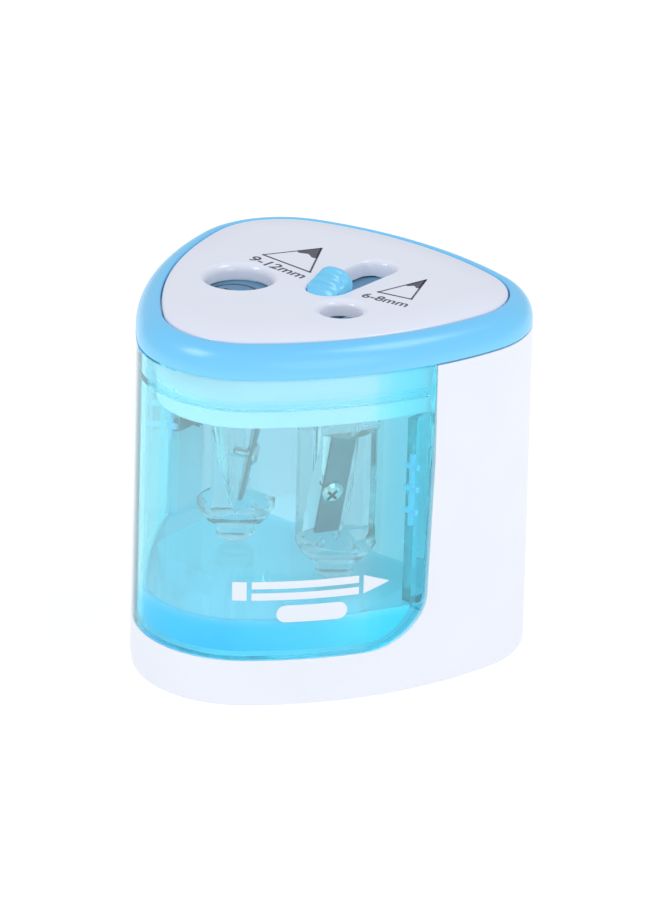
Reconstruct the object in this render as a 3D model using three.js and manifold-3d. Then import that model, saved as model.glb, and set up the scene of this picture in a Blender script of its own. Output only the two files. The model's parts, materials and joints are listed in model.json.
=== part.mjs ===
// Two-hole desktop pencil sharpener, driven by a motor and four AA cells.
// Millimetres. +X is right, +Y is the back, +Z is up, and the work surface is z = 0.
// The plan is a rounded triangle whose round apex faces -Y, with the shavings bin in that apex.
import * as THREE from "three";
import { mergeVertices } from "three/addons/utils/BufferGeometryUtils.js";
import Module from "manifold-3d";

const wasm = await Module();
wasm.setup();

// ---- Driving dimensions ----
const GAP = 0.3;                       // clearance between neighbouring pieces
const CORNER_R = 25.06;                // plan radius of the three corners
const FRONT_CORNER = [0, -20.76];      // centre of the front corner
const REAR_CORNER = [20.94, 17.41];    // centre of the right rear corner
const SIDE_R = 92.3;                   // plan radius of the three sides
const CORNER_STEPS = 9;
const SIDE_STEPS = 7;

const FOOT_H = 0.8;                    // height of the housing's edge above the surface
const SEAM_Z = 80.4;                   // joint between the housing and the blue ring
const DRAFT = 0.0255;                  // growth of the plan from the seam to the base
const WALL = 2.2;                      // housing and bin wall

const WINDOW_HALF = 41.5;              // bin opening, half its width
const WINDOW_BACK = -3.3;
const WINDOW_SILL = 12.0;
const WINDOW_CORNER = [6.5, 12];       // rounded lower corners, across and up

const BASE_Z = [1.2, 2.8];             // base plate and battery door
const DOOR_X = 28.0;
const DOOR_Y = [-21.4, 38.2];
const CELL_R = 7.0;                    // AA cell
const CELL_L = 50.5;
const CELL_PITCH = 14.2;
const CELL_FIRST_Y = -12.3;
const CELL_Z = 10.3;
const BOX_WALL = 1.3;                  // battery box
const BOX_ROOF = [18.2, 19.6];
const CONTACT_X = 28.0;                // inner face of the contact plates

const FLOOR_Z = [19.9, 21.1];          // bin floor
const BIN_SIDE_X = [34.8, 36.2];       // bin side walls
const BIN_SIDE_BACK = 3.8;
const BIN_FLOOR_BACK = 10.8;
const LADDER_Z = [44.4, 49.9, 55.4];   // finger ribs on the bin's flanges

const TRAY_Z = 67.2;                   // lower edge of the gear tray
const TRAY_FLOOR = 1.6;
const TRAY_TOP = 84.5;
const TRAY_INSET = 4.6;
const GEAR_Z = 69.4;                   // lower face of the first gear stage
const STAGE2_Z = 72.6;                 // lower face of the second gear stage
const COVER_Z = [76.4, 77.8];
const SHUTTER_Z = [82.9, 84.4];
const PLATE_Z = [84.8, 88.4];
const RING_INSET = 5.6;

const LARGE = { x: -14.25, y: -7.28, bore: 6.4, neck: 8.0, hole: 7.6, dish: 9.2, facing: 31, skew: 7 };
const SMALL = { x: 16.1, y: -7.18, bore: 4.4, neck: 6.3, hole: 4.6, dish: 6.5, facing: -26, skew: 3.5 };
const CUTTER_TEETH = 35;
const IDLER_TEETH = [16, 40];
const PINION_TEETH = 10;
const MODULES = [0.8, 0.6];            // first and second stage
const CUP_Z = 22.6;                    // lowest point of a cutter carrier
const DRUM_Z = [61.4, 66.6];

const SLOT = { x: 5.3, half: 4.9, y0: -4.0, y1: 23.5 };
const MOTOR_R = 10.2;
const MOTOR_FLAT = 7.7;
const MOTOR_Z = [38.0, 66.8];

const POSTS = [[36.6, 29.1], [33.6, -8.0]];
const FEET = [[13, -31], [-13, -31], [37.6, 17], [-37.6, 17]];
const COVER_POSTS = [[-24, 14], [25.8, 14], [0.93, -27]];
const SWITCH_X = [-41.6, -36.5];
const SWITCH_Y = [5.5, 18.3];
const SWITCH_Z = [40.0, 46.5];

// ---- Gear train: centre distances fix the places of the idler and the motor ----
const pitchRadius = (teeth, module) => (teeth * module) / 2;
const FIRST_STAGE = pitchRadius(CUTTER_TEETH + IDLER_TEETH[0], MODULES[0]);
const SECOND_STAGE = pitchRadius(IDLER_TEETH[1] + PINION_TEETH, MODULES[1]);
const MID_X = (LARGE.x + SMALL.x) / 2;
const MID_Y = (LARGE.y + SMALL.y) / 2;
const HALF_SPAN = Math.hypot(SMALL.x - LARGE.x, SMALL.y - LARGE.y) / 2;
const IDLER = { x: MID_X, y: MID_Y + Math.sqrt(FIRST_STAGE ** 2 - HALF_SPAN ** 2) };
const MOTOR = { x: MID_X, y: IDLER.y + SECOND_STAGE };

// ---- Finishes ----
const paint = (color, roughness = 0.35, metalness = 0) =>
  new THREE.MeshStandardMaterial({ color, roughness, metalness });
const WHITE = paint(0xe9edf7);
const PLATE_WHITE = paint(0xdfe4f1, 0.3);
const RING_BLUE = paint(0x7cc4f2, 0.3);
const BIN_BLUE = paint(0x7fdcf5, 0.1);
const KNOB_BLUE = paint(0x6cc6ee, 0.3);
const CLEAR = paint(0xd5eef5, 0.1);
const NYLON = paint(0xf2f0e6, 0.5);
const STEEL = paint(0x9aa4a8, 0.25, 1);
const ZINC = paint(0xc4c8c8, 0.3, 1);
const RUBBER = paint(0x9a9da1, 0.8);
const CELL_SKIN = paint(0x3d6f58, 0.4);
const BLACK = paint(0x25272b, 0.5);
const RED = paint(0xb3282d, 0.5);

// ---- Solids and helpers ----
function solid(geometry) {
  const bare = geometry.clone();
  bare.deleteAttribute("normal");
  bare.deleteAttribute("uv");
  const merged = mergeVertices(bare, 1e-4);
  return new wasm.Manifold(new wasm.Mesh({
    numProp: 3,
    vertProperties: new Float32Array(merged.attributes.position.array),
    triVerts: new Uint32Array(merged.index.array),
  }));
}

function geometryOf(manifold) {
  const mesh = manifold.getMesh();
  const geometry = new THREE.BufferGeometry();
  geometry.setAttribute("position", new THREE.BufferAttribute(mesh.vertProperties, 3));
  geometry.setIndex(new THREE.BufferAttribute(mesh.triVerts, 1));
  return geometry;
}

const join = (...pieces) => pieces.reduce((sum, piece) => sum.add(piece));
const cut = (body, ...tools) => tools.reduce((left, tool) => left.subtract(tool), body);

function extruded(points, z0, z1, holes = []) {
  const shape = new THREE.Shape(points);
  shape.holes = holes.map((hole) => new THREE.Path(hole));
  return new THREE.ExtrudeGeometry(shape, { depth: z1 - z0, bevelEnabled: false }).translate(0, 0, z0);
}

const prism = (points, z0, z1, holes) => solid(extruded(points, z0, z1, holes));

function block([x0, x1], [y0, y1], [z0, z1]) {
  const geometry = new THREE.BoxGeometry(x1 - x0, y1 - y0, z1 - z0);
  return solid(geometry.translate((x0 + x1) / 2, (y0 + y1) / 2, (z0 + z1) / 2));
}

// A turned body about Z at (x, y). The profile is a list of [radius, z], rising on the outside.
function turned(profile, x = 0, y = 0, steps = 24) {
  const points = profile.map(([r, z]) => new THREE.Vector2(r, z));
  return solid(new THREE.LatheGeometry(points, steps).rotateX(Math.PI / 2).translate(x, y, 0));
}

const rod = (x, y, r, z0, z1, steps = 24) => turned([[0, z0], [r, z0], [r, z1], [0, z1]], x, y, steps);
const ring = (x, y, inner, outer, z0, z1, steps = 18) =>
  turned([[inner, z0], [outer, z0], [outer, z1], [inner, z1], [inner, z0]], x, y, steps);

// ---- The rounded triangular plan ----
function planArcs() {
  const corners = [FRONT_CORNER, REAR_CORNER, [-REAR_CORNER[0], REAR_CORNER[1]]];
  const centres = corners.map((a, i) => {
    const b = corners[(i + 1) % 3];
    const span = Math.hypot(b[0] - a[0], b[1] - a[1]);
    const outward = [(b[1] - a[1]) / span, (a[0] - b[0]) / span];
    const depth = Math.sqrt((SIDE_R - CORNER_R) ** 2 - (span / 2) ** 2);
    return [(a[0] + b[0]) / 2 - outward[0] * depth, (a[1] + b[1]) / 2 - outward[1] * depth];
  });
  const direction = (from, to) => Math.atan2(to[1] - from[1], to[0] - from[0]);
  const arcs = [];
  for (let i = 0; i < 3; i++) {
    const next = (i + 1) % 3;
    const start = direction(centres[i], corners[i]);
    const end = direction(centres[i], corners[next]);
    const last = direction(centres[next], corners[next]);
    arcs.push({ centre: centres[i], radius: SIDE_R, start, end, steps: SIDE_STEPS });
    arcs.push({ centre: corners[next], radius: CORNER_R, start: end, end: last, steps: CORNER_STEPS });
  }
  return arcs;
}

// Every outline has the same number of points, so that profiles can be swept round it.
function outline(inset = 0, scale = 1) {
  const points = [];
  for (const { centre, radius, start, end, steps } of planArcs()) {
    const sweep = (end - start + 2 * Math.PI) % (2 * Math.PI);
    for (let k = 0; k < steps; k++) {
      const angle = start + (sweep * k) / steps;
      const x = centre[0] + (radius - inset) * Math.cos(angle);
      const y = centre[1] + (radius - inset) * Math.sin(angle);
      points.push(new THREE.Vector2(x * scale, y * scale));
    }
  }
  return points;
}

const draftScale = (z) => 1 + (DRAFT * (SEAM_Z - z)) / (SEAM_Z - FOOT_H);

function drafted(geometry) {
  const position = geometry.attributes.position;
  for (let i = 0; i < position.count; i++) {
    const scale = draftScale(position.getZ(i));
    position.setXY(i, position.getX(i) * scale, position.getY(i) * scale);
  }
  return geometry;
}

const wallShell = (z0, z1) => solid(drafted(extruded(outline(), z0, z1, [outline(WALL)])));

// A closed profile of [inset, z] swept round the plan: a lathed ring moved onto the outline.
function sweptRing(profile) {
  const reach = 40;
  const count = outline().length;
  const rings = profile.map(([inset]) => outline(inset));
  const points = profile.map(([inset, z]) => new THREE.Vector2(reach - inset, z));
  points.push(points[0].clone());
  const geometry = new THREE.LatheGeometry(points, count).rotateX(Math.PI / 2);
  const position = geometry.attributes.position;
  for (let i = 0; i < position.count; i++) {
    const turn = Math.atan2(position.getY(i), position.getX(i)) / (2 * Math.PI);
    const step = ((Math.round(turn * count) % count) + count) % count;
    const target = rings[(i % points.length) % profile.length][step];
    position.setXY(i, target.x, target.y);
  }
  return solid(geometry);
}

// The bin opening seen from the front, run along Y up to y = back.
function windowPrism(shrink, back) {
  const half = WINDOW_HALF - shrink;
  const sill = WINDOW_SILL + shrink;
  const [across, up] = WINDOW_CORNER;
  const top = 90;
  const depth = 60;
  const shape = new THREE.Shape();
  shape.moveTo(half, top);
  shape.lineTo(-half, top);
  shape.lineTo(-half, sill + up);
  shape.absellipse(-half + across, sill + up, across, up, Math.PI, 1.5 * Math.PI, false);
  shape.lineTo(half - across, sill);
  shape.absellipse(half - across, sill + up, across, up, 1.5 * Math.PI, 2 * Math.PI, false);
  shape.closePath();
  const geometry = new THREE.ExtrudeGeometry(shape, { depth, bevelEnabled: false, curveSegments: 6 });
  return solid(geometry.rotateX(Math.PI / 2).translate(0, back, 0));
}

// ---- Housing, base and feet ----
function housingShell() {
  const posts = POSTS.flatMap(([x, y]) => [-x, x].map((side) =>
    join(rod(side, y, 3, 3.2, 11.5, 12), rod(1.1 * side, 1.1 * y, 2.2, 3.2, 11.5, 12))));
  const inside = solid(drafted(extruded(outline(0.6), FOOT_H, SEAM_Z)));
  const body = join(wallShell(FOOT_H, SEAM_Z - 0.2), ...posts.map((post) => post.intersect(inside)));
  const holes = POSTS.flatMap(([x, y]) => [rod(x, y, 1.3, 3, 10.8, 10), rod(-x, y, 1.3, 3, 10.8, 10)]);
  return cut(body, windowPrism(0, WINDOW_BACK), ...holes);
}

const countersink = (x, y) =>
  turned([[0, 1], [3.2, 1], [3.2, BASE_Z[0]], [1.6, BASE_Z[1] - 0.1], [1.6, 3], [0, 3]], x, y, 12);

function basePlate() {
  const plate = prism(outline(WALL + 0.4, draftScale(2)), ...BASE_Z);
  const opening = block([-DOOR_X - GAP, DOOR_X + GAP], [DOOR_Y[0] - GAP, DOOR_Y[1] + GAP], [0, 4]);
  const sinks = POSTS.flatMap(([x, y]) => [countersink(x, y), countersink(-x, y)]);
  return cut(plate, opening, ...sinks);
}

const baseScrew = (x, y) =>
  turned([[0, 1.2], [2.7, 1.2], [2.7, 1.35], [1.0, 2.9], [1.0, 10], [0, 10.4]], x, y, 12);

const foot = (x, y) => turned([[0, 0], [3.4, 0], [4, 0.4], [4, 0.9], [0, 0.9]], x, y, 16);

function batteryDoor() {
  const panel = block([-DOOR_X, DOOR_X], DOOR_Y, BASE_Z);
  const pull = block([-6, 6], [DOOR_Y[0] + 1.5, DOOR_Y[0] + 3.5], [0, 1.9]);
  return cut(panel, pull);
}

// ---- Chassis: battery box and the wall behind the cutters, one moulding ----
function boxPlan(inset) {
  const eased = 0.45 * inset;
  const right = [[24.2 - eased, -23.6 + inset], [29.9 - inset, -18.8 + eased],
    [29.9 - inset, 37.3 - eased], [27 - eased, 39.9 - inset]];
  const left = right.map(([x, y]) => [-x, y]).reverse();
  return [...right, ...left].map(([x, y]) => new THREE.Vector2(x, y));
}

// A wall of even thickness along a bent line, thickened on the line's left.
function bentWall(line, thickness) {
  const ahead = line.map((point, i) => {
    const to = line[Math.min(i + 1, line.length - 1)];
    const from = i < line.length - 1 ? point : line[i - 1];
    const length = Math.hypot(to[0] - from[0], to[1] - from[1]);
    return [(to[0] - from[0]) / length, (to[1] - from[1]) / length];
  });
  const moved = line.map(([x, y], i) => {
    const [ax, ay] = ahead[Math.max(i - 1, 0)];
    const [bx, by] = ahead[i];
    const share = thickness / (1 + ax * bx + ay * by);
    return [x - (ay + by) * share, y + (ax + bx) * share];
  });
  return [...line, ...moved.reverse()].map(([x, y]) => new THREE.Vector2(x, y));
}

function chassis() {
  const box = cut(prism(boxPlan(0), BASE_Z[1] + GAP, BOX_ROOF[1]), prism(boxPlan(BOX_WALL), 3, BOX_ROOF[0]));
  const pocket = MOTOR_R + 0.4;
  const front = MOTOR.y - MOTOR_FLAT - 0.4 - 1.4;
  const rear = 27.2;
  const line = [
    [-34.6, 4.3], [-34.6, 10.5], [-27.3, 17], [-25.3, rear], [MOTOR.x - pocket - 1.4, rear],
    [MOTOR.x - pocket - 1.4, front + 2], [MOTOR.x - pocket + 1, front],
    [MOTOR.x + pocket - 1, front], [MOTOR.x + pocket + 1.4, front + 2],
    [MOTOR.x + pocket + 1.4, rear], [25.3, rear], [27.3, 17], [34.6, 10.5], [34.6, 4.3],
  ];
  const wall = prism(bentWall(line, 1.4), BOX_ROOF[1] - 0.2, TRAY_Z - GAP);
  return join(box, wall);
}

// ---- Shavings bin ----
function shavingsBin() {
  const opening = windowPrism(0.35, WINDOW_BACK - 0.35);
  const front = wallShell(11, SEAM_Z - 0.2).intersect(opening);
  const inside = solid(drafted(extruded(outline(1.1), 11, SEAM_Z)));
  const flangeBack = WINDOW_BACK - 0.5;
  const flangeFront = flangeBack - 1.8;
  const pieces = [
    block([-60, 60], [-60, flangeBack], FLOOR_Z),
    block([-BIN_SIDE_X[1], BIN_SIDE_X[1]], [-10, BIN_SIDE_BACK], FLOOR_Z),
    block([-BIN_SIDE_X[0] + 0.8, BIN_SIDE_X[0] - 0.8], [0, BIN_FLOOR_BACK], FLOOR_Z),
  ];
  for (const side of [-1, 1]) {
    const across = ([a, b]) => (side > 0 ? [a, b] : [-b, -a]);
    pieces.push(block(across([BIN_SIDE_X[0], 60]), [flangeFront, flangeBack], [FLOOR_Z[0], TRAY_Z - 0.6]));
    pieces.push(block(across(BIN_SIDE_X), [flangeFront, BIN_SIDE_BACK], [FLOOR_Z[0], TRAY_Z - 0.6]));
    for (const z of LADDER_Z) {
      pieces.push(block(across([BIN_SIDE_X[1], 60]), [flangeFront - 1, flangeFront + 0.5], [z - 0.6, z + 0.6]));
    }
  }
  const fittings = join(...pieces).intersect(inside).intersect(opening);
  const ledge = sweptRing([[4.0, 72.3], [1.6, 72.3], [1.6, 73.9], [4.0, 73.9]]).intersect(opening);
  return join(front, fittings, ledge);
}

// ---- Gear tray, cover and the blue and white top ----
function gearTray() {
  const body = cut(prism(outline(TRAY_INSET), TRAY_Z, TRAY_TOP),
    prism(outline(TRAY_INSET + 1.6), TRAY_Z + TRAY_FLOOR, TRAY_TOP + 1));
  const posts = COVER_POSTS.map(([x, y]) => rod(x, y, 2.6, TRAY_Z + 1, COVER_Z[0] - GAP, 12));
  const holes = [
    rod(LARGE.x, LARGE.y, LARGE.neck + 1.7, 60, 70),
    rod(SMALL.x, SMALL.y, SMALL.neck + 1.7, 60, 70),
    rod(IDLER.x, IDLER.y, 1.5, 60, 70, 12),
    rod(MOTOR.x, MOTOR.y, 3.4, 60, 70, 16),
    ...motorScrewPlaces().map(([x, y]) => rod(x, y, 1.3, 60, 70, 10)),
    ...COVER_POSTS.map(([x, y]) => rod(x, y, 1.2, 70, 80, 10)),
  ];
  return cut(join(body, ...posts), ...holes);
}

function gearCover() {
  const holes = [
    rod(LARGE.x, LARGE.y, 7.7, 70, 80),
    rod(SMALL.x, SMALL.y, 5.7, 70, 80),
    rod(IDLER.x, IDLER.y, 1.5, 70, 80, 12),
    ...COVER_POSTS.map(([x, y]) => rod(x, y, 1.3, 70, 80, 10)),
  ];
  return cut(prism(outline(TRAY_INSET + 1.9), ...COVER_Z), ...holes);
}

const coverScrew = (x, y) =>
  turned([[0, 71.2], [0.9, 71.8], [0.9, 78.1], [2.3, 78.1], [2.3, 79.2], [1.6, 79.7], [0, 79.7]], x, y, 12);

function topRing() {
  const shoulder = [];
  const steps = 5;
  for (let k = 0; k <= steps; k++) {
    const angle = (k / steps) * 0.46 * Math.PI;
    shoulder.push([5.5 * (1 - Math.cos(angle)), 81.2 + 6.2 * Math.sin(angle)]);
  }
  return sweptRing([[0, SEAM_Z + 0.1], ...shoulder, [RING_INSET, 87.1], [RING_INSET, 84.8],
    [3.4, 84.8], [2.4, 83.6], [2.4, SEAM_Z + 0.1]]);
}

function slotPath(grow) {
  const { x, half, y0, y1 } = SLOT;
  const path = new THREE.Path();
  path.absarc(x, y0 + half, half + grow, Math.PI, 2 * Math.PI, false);
  path.absarc(x, y1 - half, half + grow, 0, Math.PI, false);
  return path.getPoints(7);
}

function topPlate() {
  const rise = 1.0;
  const bevel = 7;
  const shape = new THREE.Shape(outline(RING_INSET + GAP + bevel));
  const domed = new THREE.ExtrudeGeometry(shape, {
    depth: 2, bevelEnabled: true, bevelThickness: rise, bevelSize: bevel, bevelSegments: 2,
  });
  const skin = solid(domed.translate(0, 0, PLATE_Z[1] - rise - 2));
  const rim = prism(outline(RING_INSET + GAP), PLATE_Z[0], PLATE_Z[1] - rise - 1);
  const dishes = [LARGE, SMALL].map(({ x, y, hole, dish }) => {
    const eased = (hole + 2 * dish) / 3;
    return turned([[0, 80], [hole, 80], [hole, 85.6], [hole + 0.35, 86.8], [eased, 87.8], [dish, 88.4],
      [dish, 90], [0, 90]], x, y, 24);
  });
  const above = prism(outline(RING_INSET + GAP), PLATE_Z[0], 90);
  return cut(join(skin.intersect(above), rim), ...dishes, prism(slotPath(0), 80, 90));
}

const guideTube = ({ x, y, bore }) => turned([
  [bore, 72.8], [bore + 1, 72.8], [bore + 1, 78.1], [bore + 3, 78.1], [bore + 3, 79.3],
  [bore + 1.2, 79.3], [bore + 2.2, 82.4], [bore + 1.4, 82.4], [bore, 79], [bore, 72.8],
], x, y, 18);

// ---- Selector ----
function selectorShutter() {
  const strip = block([-0.6, 11.2], [-26.8, 22.6], SHUTTER_Z);
  const left = join(rod(LARGE.x, LARGE.y - 0.2, 8.2, ...SHUTTER_Z, 28),
    block([LARGE.x, 0], [LARGE.y - 7, LARGE.y + 6], SHUTTER_Z));
  const right = join(rod(SMALL.x, SMALL.y - 16, 5, ...SHUTTER_Z, 20),
    block([10, SMALL.x], [SMALL.y - 20.6, SMALL.y - 11.4], SHUTTER_Z));
  return join(strip, left, right);
}

function selectorKnob() {
  const shape = new THREE.Shape();
  const { x } = SLOT;
  const reach = SLOT.half - GAP;
  shape.absarc(x, SLOT.y0 + SLOT.half, reach, Math.PI, 2 * Math.PI, false);
  shape.lineTo(x + reach - 0.4, 3.6);
  shape.quadraticCurveTo(x + reach - 1, 5.8, x + 1.4, 5.9);
  shape.lineTo(x - 1.4, 5.9);
  shape.quadraticCurveTo(x - reach + 1, 5.8, x - reach + 0.4, 3.6);
  shape.closePath();
  const body = solid(new THREE.ExtrudeGeometry(shape, { depth: 9, bevelEnabled: false, curveSegments: 4 })
    .translate(0, 0, SHUTTER_Z[1] + GAP));
  const slope = new THREE.BoxGeometry(20, 20, 10).translate(0, 0, 5).rotateX(0.40).translate(x, -3.4, 89.2);
  const nose = new THREE.BoxGeometry(20, 20, 10).translate(0, 0, 5).rotateX(-0.5).translate(x, 4.4, 92.4);
  return cut(body, solid(slope), solid(nose));
}

// ---- Cutters ----
// Each carrier is turned about its own axis; the blade's flat faces its local +X and leans with the cone.
const CONE_FOOT = { r: 0.9, z: 31 };
const CONE_SLOPE = Math.tan(THREE.MathUtils.degToRad(11));
const BLADE = { length: 26, width: 6, thickness: 0.8, z: 47.5 };

function leaning(geometry, away, z = BLADE.z) {
  const reach = CONE_FOOT.r + CONE_SLOPE * (z - CONE_FOOT.z) - 0.3 + away;
  return geometry.rotateY(Math.atan(CONE_SLOPE)).translate(reach, 0, z);
}

function placed(geometry, { x, y, facing }) {
  return geometry.rotateZ(THREE.MathUtils.degToRad(facing)).translate(x, y, 0);
}

function carrier(place) {
  const { bore, neck } = place;
  const coneTop = CONE_FOOT.z + (bore - CONE_FOOT.r) / CONE_SLOPE;
  const body = turned([
    [0, CUP_Z], [3.6, CUP_Z], [4.6, CUP_Z + 1], [4.6, 27.4], [7.6, 28.2], [9.4, 31],
    [9.4, DRUM_Z[0]], [9.2, DRUM_Z[1]], [neck, DRUM_Z[1]], [neck, 72.3], [0, 72.3],
  ]);
  const hollow = turned([[0, 29], [CONE_FOOT.r, CONE_FOOT.z], [bore, coneTop], [bore, 73], [0, 73]]);
  const flat = solid(leaning(new THREE.BoxGeometry(20, 30, 27.5).translate(10, 0, 0), 0));
  const relief = block([-12, -4.6], [-12, 12], [32, 58]);
  const clearance = block([2, 12], [2.4, 12], [31, 60]);
  const tapHole = leaning(new THREE.CylinderGeometry(1.3, 1.3, 9, 10).rotateZ(Math.PI / 2)
    .translate(0, -3.4, -1.5), 0);
  const shaped = cut(body, hollow, flat, relief, clearance, solid(tapHole));
  return solid(placed(geometryOf(shaped), place));
}

function bladeBody(place) {
  const skew = THREE.MathUtils.degToRad(place.skew);
  const plate = new THREE.BoxGeometry(BLADE.thickness, BLADE.width, BLADE.length).rotateX(-skew);
  const middle = GAP + BLADE.thickness / 2;
  const body = solid(leaning(plate.translate(0, -2.6, 0), middle));
  const hole = solid(leaning(new THREE.CylinderGeometry(1.3, 1.3, 6, 10).rotateZ(Math.PI / 2)
    .translate(0, -3.4, -1.5), 0));
  return solid(placed(geometryOf(cut(body, hole)), place));
}

function bladeScrew(place) {
  const top = GAP + BLADE.thickness;
  const profile = [[0, -3.6], [1.0, -3.2], [1.0, top + 0.05], [2.6, top + 0.05], [2.6, top + 0.6],
    [1.9, top + 1.2], [0, top + 1.3]];
  const points = profile.map(([r, h]) => new THREE.Vector2(r, h));
  const screw = new THREE.LatheGeometry(points, 14).rotateZ(-Math.PI / 2).translate(0, -3.4, -1.5);
  return solid(placed(leaning(screw, 0), place));
}

// ---- Gears ----
// Flanks follow an involute; the tooth is a little thin, which leaves backlash.
function gearOutline(teeth, module, phase) {
  const pitch = pitchRadius(teeth, module);
  const base = pitch * Math.cos(THREE.MathUtils.degToRad(20));
  const involute = (r) => (r <= base ? 0 : Math.sqrt((r / base) ** 2 - 1) - Math.acos(base / r));
  const halfAtPitch = (0.44 * Math.PI * module) / 2 / pitch;
  const radii = [pitch - 1.2 * module, pitch + 0.85 * module];
  const half = (r) => halfAtPitch + involute(pitch) - involute(r);
  const points = [];
  for (let k = 0; k < teeth; k++) {
    const middle = phase + (2 * Math.PI * k) / teeth;
    const flank = radii.map((r) => [r, half(r)]);
    const sides = [...flank.map(([r, a]) => [r, middle - a]), ...flank.reverse().map(([r, a]) => [r, middle + a])];
    for (const [r, angle] of sides) points.push(new THREE.Vector2(r * Math.cos(angle), r * Math.sin(angle)));
  }
  return points;
}

function gear({ x, y }, teeth, module, phase, z0, z1, bore) {
  const teethBody = solid(extruded(gearOutline(teeth, module, phase), z0, z1).translate(x, y, 0));
  return cut(teethBody, rod(x, y, bore, z0 - 1, z1 + 1, 20));
}

// The phase that puts a gear's gap opposite a tooth of the gear that it meshes with.
function meshPhase(from, to, fromTeeth, toTeeth, fromPhase) {
  const along = Math.atan2(to.y - from.y, to.x - from.x);
  return along + Math.PI - ((fromPhase - along) * fromTeeth) / toTeeth - Math.PI / toTeeth;
}

const LARGE_PHASE = 0;
const IDLER_PHASE = meshPhase(LARGE, IDLER, CUTTER_TEETH, IDLER_TEETH[0], LARGE_PHASE);
const SMALL_PHASE = meshPhase(IDLER, SMALL, IDLER_TEETH[0], CUTTER_TEETH, IDLER_PHASE);
const PINION_PHASE = meshPhase(IDLER, MOTOR, IDLER_TEETH[1], PINION_TEETH, 0);

const cutterGear = (place, phase) =>
  gear(place, CUTTER_TEETH, MODULES[0], phase, GEAR_Z, GEAR_Z + 2.6, place.neck + GAP);

function idlerGear() {
  const lower = gear(IDLER, IDLER_TEETH[0], MODULES[0], IDLER_PHASE, GEAR_Z, STAGE2_Z + 0.1, 1.5);
  return join(lower, gear(IDLER, IDLER_TEETH[1], MODULES[1], 0, STAGE2_Z, STAGE2_Z + 2.2, 1.5));
}

const motorPinion = () => gear(MOTOR, PINION_TEETH, MODULES[1], PINION_PHASE, STAGE2_Z - 0.6, 75.4, 1.25);
const bearing = ({ x, y, neck }) => ring(x, y, neck + GAP, neck + 1.4, TRAY_Z + 0.1, 69.1);

// ---- Motor ----
function flatted(r, flat, z0, z1, y = MOTOR.y) {
  const slab = block([MOTOR.x - 20, MOTOR.x + 20], [y - flat, y + flat], [z0, z1]);
  return rod(MOTOR.x, y, r, z0, z1, 28).intersect(slab);
}

function motorCan() {
  const body = flatted(MOTOR_R, MOTOR_FLAT, ...MOTOR_Z);
  const holes = motorScrewPlaces().map(([x, y]) => rod(x, y, 1.2, 60, 70, 10));
  return cut(body, rod(MOTOR.x, MOTOR.y, 1.3, 40, 70, 12), ...holes);
}

function motorEndCap() {
  const body = flatted(MOTOR_R - 0.3, MOTOR_FLAT - 0.3, 31.2, MOTOR_Z[0] - GAP);
  const boss = rod(MOTOR.x, MOTOR.y, 3.2, 29.4, 31.4, 16);
  return join(body, boss);
}

const motorScrewPlaces = () => [-1, 1].map((side) => [MOTOR.x + side * 7, MOTOR.y]);
const motorScrew = (x, y) =>
  turned([[0, 63.6], [0.9, 64], [0.9, 69.1], [1.9, 69.1], [1.9, 70], [1.2, 70.5], [0, 70.5]], x, y, 12);

// ---- Cells and contacts ----
const cellY = (index) => CELL_FIRST_Y + index * CELL_PITCH;
const cellSide = (index) => (index % 2 === 0 ? -1 : 1);

// Lies along X with its positive end on the given side.
function cell(index) {
  const half = CELL_L / 2;
  const points = [[0, -half], [6.2, -half], [CELL_R, -half + 0.6], [CELL_R, half - 2], [6.3, half - 1.2],
    [2.7, half - 1.1], [2.7, half], [0, half]].map(([r, h]) => new THREE.Vector2(r, h));
  const body = new THREE.LatheGeometry(points, 20).rotateZ(-Math.PI / 2 * cellSide(index));
  return solid(body.translate(cellSide(index) * (CONTACT_X - GAP - half), cellY(index), CELL_Z));
}

function batterySpring(index) {
  const side = -cellSide(index);
  const from = CELL_L - (CONTACT_X - GAP) + 0.4;
  const length = CONTACT_X - 0.5 - from;
  const turns = 2.5;
  const steps = 18;
  const places = Array.from({ length: steps + 1 }, (_, k) => {
    const along = k / steps;
    const angle = 2 * Math.PI * turns * along;
    const radius = 2 + 2.2 * along;
    return new THREE.Vector3(side * (from + 0.4 + (length - 0.8) * along),
      cellY(index) + radius * Math.cos(angle), CELL_Z + radius * Math.sin(angle));
  });
  const section = new THREE.Shape();
  section.absarc(0, 0, 0.35, 0, 2 * Math.PI, false);
  const extrudePath = new THREE.CatmullRomCurve3(places);
  return solid(new THREE.ExtrudeGeometry(section, { steps, curveSegments: 3, extrudePath }));
}

// Plates join the cells in series: two pairs on the left, and one pair between two ends on the right.
const CONTACTS = [[-1, 0, 1], [-1, 2, 3], [1, 0, 0], [1, 1, 2], [1, 3, 3]];

function contactPlate([side, first, last]) {
  const near = Math.min(side * CONTACT_X, side * (CONTACT_X + 0.4));
  return block([near, near + 0.4], [cellY(first) - 5.6, cellY(last) + 5.6], [5, 15.6]);
}

// ---- Bin interlock switch and its wires ----
function interlockSwitch() {
  const body = block(SWITCH_X, SWITCH_Y, SWITCH_Z);
  const guide = block([SWITCH_X[1] - 2.6, SWITCH_X[1] + 0.5], [SWITCH_Y[0] - 1, SWITCH_Y[0] + 3], [41.6, 44.8]);
  return cut(body, guide);
}

const interlockPlunger = () => block([-38.7, -36.8], [WINDOW_BACK - 0.2, SWITCH_Y[0] + 1.6], [41.9, 44.5]);

function wire(stops) {
  const section = new THREE.Shape();
  section.absarc(0, 0, 0.6, 0, 2 * Math.PI, false);
  const extrudePath = new THREE.CatmullRomCurve3(stops.map((stop) => new THREE.Vector3(...stop)));
  return solid(new THREE.ExtrudeGeometry(section, { steps: 12, curveSegments: 3, extrudePath }));
}

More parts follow.
